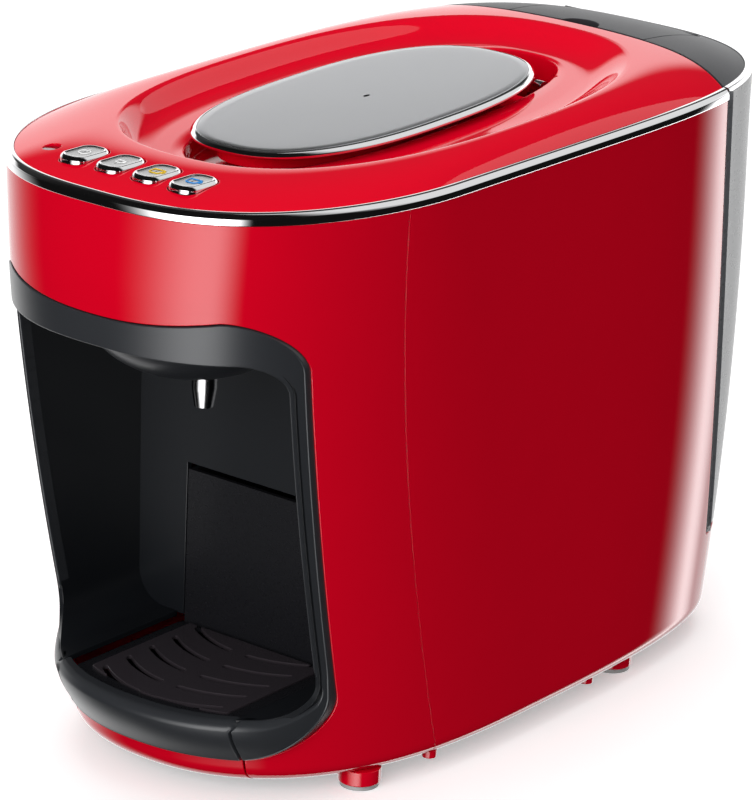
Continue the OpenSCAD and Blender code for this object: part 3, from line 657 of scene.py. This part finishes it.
lid = DOME.clip(lambda P: -joint_inside(P, 0.9) - COVER_EDGE)
lid = lid.clip(lambda P: beside_flap(P) - COVER_EDGE).plate(COVER_T, COVER_EDGE)
skirt_levels = np.linspace(BAND_Z - 4, BAND_Z + 3, 5)
skirt = Skin.grid([at_z(behind_joint(z, 3.8, 4.2), z) for z in skirt_levels], closed=False)
skirt_front = joint_wall(skirt_levels, 3.8, 4.2)
piece("tank_lid_skin", lid + skirt.plate(1.8, 0.1) + skirt_front.plate(1.8, 0.1), CHARCOAL, "tank",
      "lid_charcoal", "tank_lid")
flap = DOME.clip(lambda P: -joint_inside(P, 1.2) - COVER_EDGE)
flap = flap.clip(lambda P: -flap_area(P) - COVER_EDGE)
flap = flap.clip(lambda P: np.hypot(P[:, 0], P[:, 1] - REAR_Y) - NOTCH_R)
knuckle = turned([(0.86, -FLAP_HW + 0.2), (1.5, -FLAP_HW + 0.2), (1.5, FLAP_HW - 0.2),
                  (0.86, FLAP_HW - 0.2)], 0.15, 24)
knuckle = knuckle.moved(Matrix.Translation((0, FLAP_Y, FLAP_Z)) @ Matrix.Rotation(math.pi / 2, 4, "Y"))
piece("tank_flap_skin", flap.plate(COVER_T, COVER_EDGE) + knuckle, CHARCOAL, "flap", "lid_charcoal",
      "tank_flap")

# ---- Chrome band and the tank's rim ----
band_line = bent([(3.2, 243.0), (0.4, 242.0), (0.0, 242.4), (0.0, 245.1), (1.6, 246.7), (3.3, 246.8),
                  (3.4, 244.0)], [0, 0.2, 0.2, 0.5, 0.5, 0.2, 0])
band = Skin.grid([at_z(ring(BAND_Z, i), z) for i, z in band_line])
piece("chrome_band_skin", band.clip(lambda P: joint_inside(P) - 0.2).plate(0.8, 0.15), CHROME,
      "housing", "chrome_trim", "chrome_band")
rim_line = bent([(3.2, 245.2), (0.5, 245.0), (0.4, 245.9), (1.3, 246.8), (3.3, 246.8)], 0.2)
rim = Skin.grid([at_z(ring(BAND_Z, i), z) for i, z in rim_line])
piece("tank_rim_skin", rim.clip(lambda P: -joint_inside(P, 0.9) - 0.2).plate(0.5, 0.1), CHROME,
      "tank", "chrome_trim", "tank_rim")

# ---- Water tank ----
tank_levels = [(TANK_FOOT_Z + 0.02, 2.2), (TANK_FOOT_Z + 0.2, 1.2), (TANK_FOOT_Z + 0.9, 0.35)]
tank_levels += [(TANK_FOOT_Z + 2, 0.0)]
tank_levels += [(z, 0.0) for z in np.linspace(TANK_FOOT_Z + 5, BAND_Z + 2.7, 56)]
tank_out = Skin.grid([at_z(ring(z, BAND_PROUD + i), z) for z, i in tank_levels])
tank_out = tank_out.clip(lambda P: -joint_inside(P, 0.9) - 0.5)
tank_front = joint_wall(np.linspace(TANK_FOOT_Z + 0.5, BAND_Z + 2.7, 40), BAND_PROUD + 0.5, 0.9)
tank_floor = joint_floor(TANK_FOOT_Z + 0.02, BAND_PROUD + 1.6, 1.2).facing(0, 2, -1)
tank_floor = tank_floor.clip(lambda P: np.hypot(P[:, 0], P[:, 1] - VALVE_Y) - 2.8)
nozzle = turned([(2.8, TANK_FOOT_Z), (2.8, 41), (4.0, 41), (4.0, TANK_FOOT_Z + 0.4)], 0.3, 40)
nozzle = nozzle.moved(Matrix.Translation((0, VALVE_Y, 0)))
tank_all = tank_out.plate(WALL, 0.5) + tank_front.plate(WALL, 0.3) + tank_floor.plate(WALL, 0.2)
piece("water_tank_skin", tank_all + nozzle, SMOKE, "tank", "tank_smoke", "water_tank")

# ---- Niche frame and drawer front ----
def frame_row(z):
    """The body outline, swollen along the lip."""
    p = ring(z, 0.1)
    s = lip_swell(z) * lip_fade(p[:, 0])
    front = p[:, 1] <= 0
    p[:, 0] += np.where(front, s * 0.7 * p[:, 0] / FRAME_HW, 0)
    p[:, 1] -= np.where(front, s, 0)
    return at_z(p, z)


face_levels = np.concatenate([np.arange(12, 64, 1.25), np.linspace(65, 208, 60)])
FACE = Skin.grid([frame_row(z) for z in face_levels]).clip(lambda P: -60 - P[:, 1])


def inner_round(z):
    """The ring's inner edge is rounder along the lip than above it."""
    return mix(0.9, LIP_ROUND, np.clip((58 - z) / 16, 0, 1))


def frame_edges(P):
    """Distances inside the ring's outer edge, inner edge and drawer seam, and their rounding."""
    z = P[:, 2]
    outer, inner = -frame_out(P), frame_in(P)
    seam = np.where(z < LIP_Z + 8, np.abs(P[:, 0]) - drawer_hw(z) - GAP, FAR)
    return np.stack([outer, inner, seam]), np.stack([np.full(len(P), 0.6), inner_round(z),
                                                     np.full(len(P), 0.7)])


def nearest_round(edges):
    """Rounding of whichever of the edges a point lies on."""
    def radius(B):
        d, r = edges(B)
        return np.take_along_axis(r, np.argmin(np.abs(d - r), 0)[None], 0)[0]
    return radius


def trimmed(skin, edges, count):
    """Cuts the skin back to where the rounding of each edge starts."""
    for k in range(count):
        skin = skin.clip(lambda P, k=k: edges(P)[0][k] - edges(P)[1][k])
    return skin


frame_skin = trimmed(FACE, frame_edges, 3)
piece("niche_frame_skin", frame_skin.plate(RING_T + 3, nearest_round(frame_edges), 6, (0, 1, 0)), GRAPHITE,
      "housing", "dark_frame", "niche_frame")


def lip_edges(P):
    """The same for the drawer's lip: outer edge, sides and top."""
    z = P[:, 2]
    return (
        np.stack([-frame_out(P), drawer_hw(z) - np.abs(P[:, 0]), LIP_Z - z]),
        np.stack([np.full(len(P), 0.5), np.full(len(P), 0.7), np.full(len(P), LIP_ROUND)]),
    )


lip_skin = trimmed(FACE, lip_edges, 3)
piece("drawer_front_skin", lip_skin.plate(7, nearest_round(lip_edges), 6, (0, 1, 0)), GRAPHITE,
      "drawer", "dark_frame", "drawer_front")


def strip_edges(P):
    """The same for the red strip below the lip: upper edge and sides."""
    return (
        np.stack([frame_out(P) - 0.1, drawer_hw(P[:, 2]) - np.abs(P[:, 0])]),
        np.full((2, len(P)), 0.4),
    )


strip = trimmed(BODY.clip(lambda P: -60 - P[:, 1]).clip(lambda P: 30 - P[:, 2]), strip_edges, 2)
piece("drawer_strip_skin", strip.plate(4, nearest_round(strip_edges), 3), RED, "drawer", "red_gloss",
      "drawer_trim")


# ---- Niche liner ----
def upright_line(hw, lean, low, high, r_low, r_high, dip, steps=14):
    """Closed ring of the same outline in XZ, from its foot round by the right side."""
    foot = hw - lean
    turn = np.radians(np.linspace(0, 90, steps))
    low_arc = [(foot - r_low + r_low * math.sin(a), low + r_low - r_low * math.cos(a)) for a in turn]
    high_arc = [(hw - r_high + r_high * math.cos(a), high - r_high + r_high * math.sin(a)) for a in turn]
    side = np.array([(0, low)] + low_arc + high_arc + [(0, high - dip)])
    side = even(side, 110, True)
    return np.concatenate([side[:-1], (side * [-1, 1])[::-1][:-1]])


def face_y(x, z):
    """Where the frame's front surface lies at x and z."""
    w, d = half_w(z) - 0.1, down(z)
    front = mix(*NOSE_MID, d)
    p, q = mix(*NOSE_ACROSS, d), mix(*NOSE_ALONG, d)
    y = front - (front - nose_y(z) - 0.1) * (1 - min(1, abs(x) / w) ** p) ** (1 / q)
    return y - lip_swell(z) * float(lip_fade(x))


mouth = upright_line(*INSIDE)
mouth_y = np.array([face_y(x, z) + RING_T for x, z in mouth])
depths = np.concatenate([np.linspace(0, 0.97, 14), [0.985, 1.0]])
tunnel = Skin.grid([
    np.column_stack([mouth[:, 0], mix(mouth_y, np.full(len(mouth), NICHE_BACK), t), mouth[:, 1]])
    for t in depths
], flip=True)
tunnel = tunnel.facing(int(np.argmax(tunnel.V[:, 0])), 0, -1)
tunnel = tunnel.clip(lambda P: np.maximum(np.abs(P[:, 0]) - DRAWER_HW - 0.5, P[:, 2] - LIP_Z - 3))
tunnel = tunnel.clip(lambda P: np.where(P[:, 2] > 150, np.hypot(P[:, 0], P[:, 1] - SPOUT_Y) - 5.4, FAR))
xs, zs = np.linspace(-68, 68, 70), np.linspace(36, 191, 80)
back_wall = Skin.grid([[(x, NICHE_BACK, z) for x in xs] for z in zs], closed=False)
back_wall = back_wall.clip(lambda P: -frame_in(P) + 0.4)
back_wall = back_wall.clip(lambda P: np.maximum(np.abs(P[:, 0]) - BIN_HW - 0.8, P[:, 2] - BIN_TOP - 3))
piece("niche_liner_skin", tunnel.plate(2.2, 0.2) + back_wall.plate(2.4, 0.3, 3, (0, 1, 0)), BLACK,
      "housing", "niche_black", "niche_liner")

# ---- Brew head and spout ----
ceiling = NICHE_TOP - GAP
bowl = [(0.05, ceiling - BOWL_D)]
bowl += [
    (6 + (BOWL_R - 6) * math.sin(a), ceiling - BOWL_D * math.cos(a))
    for a in np.radians(np.arange(4, 90, 4))
]
bowl += [(BOWL_R, ceiling)]
head = turned(bowl, 0.5, 128).moved(Matrix.Translation((0, HEAD_Y, 0)))
piece("brew_head_skin", head, GRAPHITE, "housing", "dark_frame", "brew_head")
spout = turned([(2.4, 168), (2.4, 146.5), (3.7, 146.5), (4.9, 154), (4.9, 204)], 0.5, 64)
piece("coffee_spout_skin", spout.moved(Matrix.Translation((0, SPOUT_Y, 0))), STEEL, "housing",
      "steel", "coffee_spout")

# ---- Drip grate and its brim ----
def shelf_plan(P, back, half, away):
    """Distance inside the plan of what lies behind the lip, away from its front surface."""
    lip = frame_row(35.0)
    front = lip[lip[:, 1] < -60]
    order = np.argsort(front[:, 0])
    edge = np.interp(P[:, 0], front[order, 0], front[order, 1])
    slope = np.interp(P[:, 0], front[order, 0], np.gradient(front[order, 1], front[order, 0]))
    lead = (P[:, 1] - edge - away) / np.sqrt(1 + slope**2)
    return np.minimum(np.minimum(lead, half - np.abs(P[:, 0])), back - P[:, 1])


def slots(P):
    """Distance outside the grate's curved slots."""
    best = np.full(len(P), FAR)
    for y0 in SLOT_ROWS:
        cy = y0 + SLOT_R
        r = np.hypot(P[:, 0], P[:, 1] - cy)
        across = np.abs(r - SLOT_R) - SLOT_W / 2
        along = np.maximum(SLOT_MID - np.abs(P[:, 0]), np.abs(P[:, 0]) - SLOT_END)
        end = np.clip(along + SLOT_W / 2, 0, None)
        d = np.where(P[:, 1] < cy, np.hypot(end, np.clip(across + SLOT_W / 2, 0, None)) - SLOT_W / 2,
                     FAR)
        best = np.minimum(best, d)
    return best


def grate_plan(P):
    """Distance inside the slotted plate, which the brim goes round."""
    return shelf_plan(P, GRATE_BACK, GRATE_HW - 5.5, 15.5)


xs, ys = np.linspace(-50, 50, 101), np.linspace(-162, -70, 93)
flat = Skin.grid([[(x, y, GRATE_TOP) for x in xs] for y in ys], closed=False)
grate = flat.clip(lambda P: grate_plan(P) - 0.4).clip(lambda P: slots(P) - 0.35)
piece("drip_grate_skin", grate.plate(1.6, 0.35), GRATE, "grate", "grate_dark")
brim = Skin.grid([[(x, y, GRATE_TOP - 0.9) for x in xs] for y in ys], closed=False)
brim = brim.clip(lambda P: shelf_plan(P, GRATE_BACK + 0.5, GRATE_HW, 9.6) - 0.4)
brim = brim.clip(lambda P: 0.8 - grate_plan(P))
piece("grate_brim", brim.plate(1.2, 0.4), TRAY, "grate", "tray_black", "drip_grate")

# ---- Lever ----
lever_place = Matrix.Translation((0, LEVER_Y, LEVER_Z)) @ Matrix.Rotation(LEVER_TILT, 4, "X")


def lever_row(inset, z):
    return at_z(oval(LEVER_W / 2 - inset, LEVER_LEN / 2 - inset, 0), z)


trim_line = bent([(41, 0.0), (2.6, 0.0), (0.25, 0.7), (0.0, 1.8), (1.4, 3.15), (2.3, 3.4), (2.55, 3.2),
                  (2.55, 2.5)], [0, 0.8, 0.5, 0.5, 0.4, 0.1, 0.1, 0])
trim = Skin.grid([lever_row(i, 0) for i in (41, 30, 15, 6)] + [lever_row(i, z) for i, z in trim_line[1:]])
piece("lever_trim_skin", trim.moved(lever_place), CHROME, "lever", "chrome_trim", "lever_trim")
plate_rows = [lever_row(i, z)
              for i, z in ((2.7, 2.6), (2.7, 3.25), (2.8, 3.38), (3.0, 3.45), (6, 3.5), (12, 3.55))]
plate_rows += [at_z(oval(LEVER_W / 2 * k, LEVER_LEN / 2 * k, 0), 3.65 - 0.2 * k * k)
               for k in (0.6, 0.45, 0.3, 0.15, 0.02)]
plate = Skin.grid(plate_rows)
piece("lever_plate_skin", plate.moved(lever_place), LEVER_METAL, "lever", "lever_metal", "lever_plate")


# ---- Buttons ----
def button_part(name, body, line, material, x, *nodes):
    """A closed skin round a button; line holds insets from its sides and heights over its top."""
    rows = [
        at_z(rounded_ring(BUTTON_W - 2 * i, BUTTON_L - 2 * i, max(0.1, 5.2 - 0.8 * i)), BUTTON_TOP + z)
        for i, z in line
    ]
    shape = Skin.grid(rows).moved(Matrix.Translation((x, BUTTON_Y, 0)))
    piece(name, shape, material, body, "button_metal", *nodes)


def button(name, x):
    cap = bent([(-1.0, -7.4), (-1.0, -6.2), (0.0, -6.2), (0.0, -1.1), (0.9, -0.05), (1.5, -0.05),
                (1.9, -0.3)], [0, 0.2, 0, 0.6, 0.4, 0.2, 0])
    button_part(name + "_cap", name, cap, CHROME, x, name)
    face = [(1.8, -0.32), (2.6, -0.4), (4, -0.42), (6.3, -0.43)]
    button_part(name + "_face", name, face, BUTTON_FACE, x)


def icon(name, body, lines, material, x):
    """Thin raised lines on a button; each line is a list of (x, y) from its centre."""
    curve = bpy.data.curves.new(name, "CURVE")
    curve.dimensions = "3D"
    curve.bevel_depth = 0.26 * MM
    curve.bevel_resolution = 2
    for line in lines:
        spline = curve.splines.new("POLY")
        spline.points.add(len(line) - 1)
        for point, (px, py) in zip(spline.points, line):
            point.co = ((x + px) * MM, (BUTTON_Y + py) * MM, (BUTTON_TOP - 0.38) * MM, 1)
    curve.materials.append(material)
    obj = bpy.data.objects.new(name, curve)
    bpy.context.scene.collection.objects.link(obj)
    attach(obj, body)


def arc_line(r, a0, a1, cx=0.0, cy=0.0, steps=24):
    return [(cx + r * math.cos(a), cy + r * math.sin(a)) for a in np.radians(np.linspace(a0, a1, steps))]


def cup_lines(w, h):
    """A cup seen from the side, with its handle."""
    right = [(w * 0.6, -h), (w * 0.85, -h * 0.7), (w, h)]
    left = [(-x, y) for x, y in right[::-1]]
    return [left + right + [(-w, h)], arc_line(h * 0.45, -80, 80, w, h * 0.15)]


ICONS = {
    "power_button": ([arc_line(2.3, 115, 425), [(0, 0.6), (0, 3.4)]], ICON_WHITE),
    "small_cup_button": (cup_lines(1.6, 1.5), ICON_WHITE),
    "large_cup_button": (cup_lines(2.6, 2.2), ICON_YELLOW),
    "hot_water_button": (cup_lines(2.6, 2.2), ICON_BLUE),
}
for (name, (lines, colour)), bx in zip(ICONS.items(), BUTTON_X):
    button(name, bx)
    icon(name + "_icon", name, lines, colour, bx)

# ---- Feet ----
FOOT = turned([(0.05, 1.9), (8.3, 1.9), (8.5, 2.2), (8.5, 8.0), (0.05, 8.0)], 0.3, 48)
NUB = turned([(0.05, 4.6), (3.0, 4.6), (3.0, 8.0), (0.05, 8.0)], 0.5, 24)
stood = [
    shape.moved(Matrix.Translation((side * x, y, 0)))
    for side in (-1, 1) for shape, places in ((FOOT, FEET), (NUB, NUBS)) for x, y in places
]
feet = stood[0]
for shape in stood[1:]:
    feet = feet + shape
piece("feet_skin", feet, RED, "housing", "red_gloss", "base_feet")

# ---- Materials of the CAD nodes that stay ----
KEPT = {
    RED: ["lever_base"],
    TRAY: ["base_plate", "brew_chamber", "capsule_chute", "tank_seat", "drip_tray", "capsule_bin"],
    PAD: ["foot_pads"],
    WHITE: ["brew_piston", "flow_meter", "tank_valve", "tank_strainer"],
    RUBBER: ["piston_seal", "pump_mounts", "power_inlet"],
    STEEL: ["pump", "housing_screws", "lever_bracket", "lever_pin", "button_springs", "flap_pin",
            "valve_spring"],
    ALLOY: ["heater"],
    BOARD: ["control_board", "button_board"],
    LENS: ["status_light"],
    HOSE: ["water_hoses"],
}
for material, names in KEPT.items():
    for name in names:
        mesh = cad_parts[name].data
        mesh.materials.clear()
        mesh.materials.append(material)

# ---- Floor, world, lights and camera ----
floor_mesh = bpy.data.meshes.new("floor")
FLOOR_HALF = 6.0
corners = [(x * FLOOR_HALF, y * FLOOR_HALF, 0) for x, y in ((-1, -1), (1, -1), (1, 1), (-1, 1))]
floor_mesh.from_pydata(corners, [], [(0, 1, 2, 3)])
floor_pale = node_material("floor_pale", (0.9, 0.9, 0.9), 0.7, grain_scale=4, vary=0.005, spec=0.0)
floor_shader = floor_pale.node_tree.nodes["Principled BSDF"]
floor_shader.inputs["Emission Color"].default_value = (1, 1, 1, 1)
floor_shader.inputs["Emission Strength"].default_value = 0.35
floor_mesh.materials.append(floor_pale)
floor = bpy.data.objects.new("floor", floor_mesh)
bpy.context.scene.collection.objects.link(floor)


def studio_world():
    """White to the camera, a soft sky to diffuse light, and a dark studio with bright panels to gloss."""
    world = bpy.data.worlds.new("studio")
    bpy.context.scene.world = world
    world.use_nodes = True
    nodes, links = world.node_tree.nodes, world.node_tree.links

    def maths(kind, a, b):
        node = nodes.new("ShaderNodeMath")
        node.operation = kind
        for socket, value in zip(node.inputs, (a, b)):
            if isinstance(value, (int, float)):
                socket.default_value = value
            else:
                links.new(value, socket)
        return node.outputs[0]

    def ramp(value, start, end, low=0.0, high=1.0):
        """A smooth step from low at start to high at end."""
        node = nodes.new("ShaderNodeMapRange")
        node.interpolation_type = "SMOOTHSTEP"
        for name, number in (("From Min", start), ("From Max", end), ("To Min", low), ("To Max", high)):
            node.inputs[name].default_value = number
        links.new(value, node.inputs["Value"])
        return node.outputs["Result"]

    def either(choice, a, b):
        node = nodes.new("ShaderNodeMix")
        links.new(choice, node.inputs[0])
        for socket, value in zip((node.inputs[2], node.inputs[3]), (a, b)):
            if isinstance(value, (int, float)):
                socket.default_value = value
            else:
                links.new(value, socket)
        return node.outputs[0]

    rays = nodes.new("ShaderNodeLightPath")
    place = nodes.new("ShaderNodeTexCoord")
    split = nodes.new("ShaderNodeSeparateXYZ")
    links.new(place.outputs["Generated"], split.inputs[0])
    height = split.outputs["Z"]
    front = maths("MULTIPLY", split.outputs["Y"], -1.0)
    turn = maths("MULTIPLY", maths("ARCTAN2", split.outputs["X"], front), 180 / math.pi)
    # Backdrop behind and to the left, fading out above about 20 degrees
    backdrop = maths("ADD", ramp(turn, -62, -112, 0, 1.35), ramp(turn, 158, 178, 0, 1.35))
    backdrop = maths("MULTIPLY", backdrop, ramp(height, 0.38, 0.29, 0.03, 1.0))
    # Narrow bright strip behind, and a side panel above the horizon
    strip = maths("MULTIPLY", ramp(turn, 156, 169, 0, 4.0), ramp(turn, 178, 166))
    strip = maths("MULTIPLY", strip, ramp(height, 0.0, -0.2))
    side = maths("MULTIPLY", ramp(turn, 100, 130, 0, 0.8), ramp(height, -0.12, 0.05))
    backdrop = maths("ADD", backdrop, maths("ADD", strip, side))
    # Tall panel in front, brighter towards its right edge
    panel = maths("MULTIPLY", ramp(turn, -36, 22, 0, 5.0), ramp(turn, 52, 27))
    panel = maths("MULTIPLY", panel, maths("MULTIPLY", ramp(height, -0.85, -0.55), ramp(height, 0.2, -0.05)))
    mirror = maths("ADD", maths("ADD", backdrop, panel), 0.006)
    sky = ramp(height, -0.35, 0.6, 0.16, 0.62)
    shade = either(rays.outputs["Is Glossy Ray"], sky, mirror)
    shade = either(rays.outputs["Is Camera Ray"], shade, 1.0)
    links.new(shade, nodes["Background"].inputs["Strength"])
    nodes["Background"].inputs["Color"].default_value = (1, 1, 1, 1)


def softbox(name, place, aim, width, height, power):
    data = bpy.data.lights.new(name, "AREA")
    data.shape = "RECTANGLE"
    data.size, data.size_y = width, height
    data.energy = power
    obj = bpy.data.objects.new(name, data)
    obj.location = place
    obj.rotation_euler = (Vector(aim) - Vector(place)).to_track_quat("-Z", "Y").to_euler()
    obj.visible_camera = False
    obj.visible_glossy = False
    bpy.context.scene.collection.objects.link(obj)


studio_world()
floor.visible_glossy = False
floor.visible_diffuse = False
TARGET = Vector((0, 0, 0.130))
softbox("key_front", (0.45, -1.7, 0.7), TARGET, 1.4, 1.0, 22)
softbox("top", (-0.3, 0.3, 1.8), TARGET, 1.6, 1.6, 14)
AZIMUTH, ELEVATION, ROLL = (math.radians(a) for a in (36.99, 19.0, 2.54))
DISTANCE = 1.7485
right = Vector((math.cos(AZIMUTH), math.sin(AZIMUTH), 0))
back = Vector((
    math.sin(AZIMUTH) * math.cos(ELEVATION),
    -math.cos(AZIMUTH) * math.cos(ELEVATION),
    math.sin(ELEVATION),
))
up = back.cross(right)
rolled_right = right * math.cos(ROLL) + up * math.sin(ROLL)
rolled_up = up * math.cos(ROLL) - right * math.sin(ROLL)
camera_data = bpy.data.cameras.new("camera")
camera_data.sensor_width = 36
camera_data.lens = 194.66
camera_data.shift_x, camera_data.shift_y = -0.0084, -0.0272
camera = bpy.data.objects.new("camera", camera_data)
facing = Matrix((rolled_right, rolled_up, back)).transposed().to_4x4()
camera.matrix_world = Matrix.Translation(TARGET + back * DISTANCE) @ facing
bpy.context.scene.collection.objects.link(camera)
bpy.context.scene.camera = camera
bpy.context.scene.view_settings.view_transform = "Standard"
